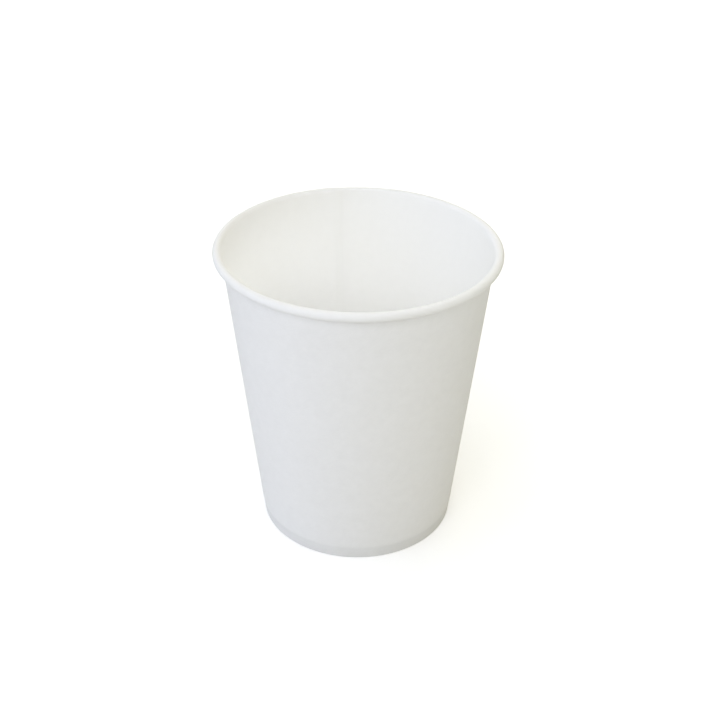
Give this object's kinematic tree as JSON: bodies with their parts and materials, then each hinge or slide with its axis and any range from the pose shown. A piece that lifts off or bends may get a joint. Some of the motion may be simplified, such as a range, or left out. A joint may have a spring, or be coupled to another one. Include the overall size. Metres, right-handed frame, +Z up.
{
  "type": "paper coffee cup",
  "caption": "Plain single-wall paper cup with tapered wall, rolled rim, lapped side seam and a folded foot round a recessed bottom disc.",
  "frame": {"origin": "centre of the plane that the foot stands on", "axes": "+Z up along the cup's axis, -Y towards the side that the picture shows, the side seam at the back near +Y"},
  "size_m": [0.073, 0.0733, 0.08],
  "materials": {
    "wall_board": "uncoated white board outside, thin clear film inside",
    "bottom_board": "white board with a thin clear film on the inside"
  },
  "bodies": {
    "root": {"sidewall": "wall_board", "bottom": "bottom_board"}
  },
  "joints": []
}
